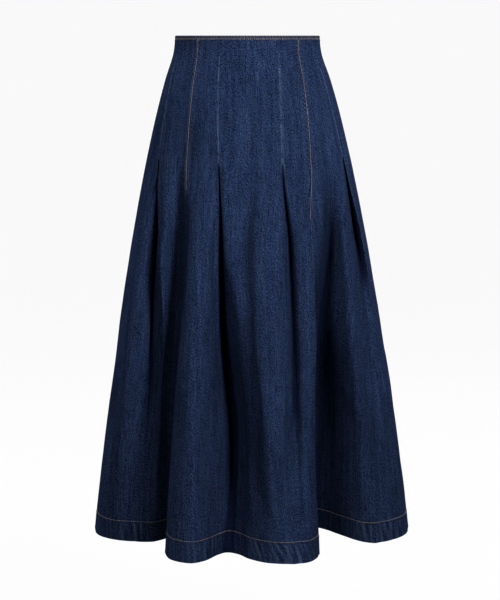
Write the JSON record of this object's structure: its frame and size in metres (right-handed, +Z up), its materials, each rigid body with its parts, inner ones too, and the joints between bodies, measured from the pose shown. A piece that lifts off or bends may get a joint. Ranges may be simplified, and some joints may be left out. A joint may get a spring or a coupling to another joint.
{
  "type": "denim skirt",
  "caption": "Long A-line skirt in dark denim with stitched-down pleats that open below the hip, filled out as if worn.",
  "frame": {"origin": "middle of the waist opening, level with the waist edge", "axes": "+Z up, the front faces -Y, +X is the right-hand side as seen from the front"},
  "size_m": [0.5479, 0.5084, 0.8497],
  "materials": {
    "front_panel": "dark indigo denim, matt",
    "front_side_panel_left": "dark indigo denim, matt",
    "front_side_panel_right": "dark indigo denim, matt",
    "back_side_panel_left": "dark indigo denim, matt",
    "back_side_panel_right": "dark indigo denim, matt",
    "back_panel_left": "dark indigo denim, matt",
    "back_panel_right": "dark indigo denim, matt",
    "zip_tape": "navy woven tape, matt",
    "zip_slider": "navy lacquered metal, satin",
    "zip_pull": "navy lacquered metal, satin"
  },
  "bodies": {
    "skirt": {"front_panel": "front_panel", "front_side_panel_left": "front_side_panel_left", "front_side_panel_right": "front_side_panel_right", "back_side_panel_left": "back_side_panel_left", "back_side_panel_right": "back_side_panel_right", "back_panel_left": "back_panel_left", "back_panel_right": "back_panel_right", "zip_tape": "zip_tape", "zip_slider": "zip_slider"},
    "zip_pull": {"zip_pull": "zip_pull"}
  },
  "joints": [
    {"name": "zip_pull_hinge", "type": "hinge", "parent": "skirt", "child": "zip_pull", "pos_m": [0, 0.09591, -0.01376], "axis": [1, 0, 0], "range_deg": [0, 165]}
  ]
}
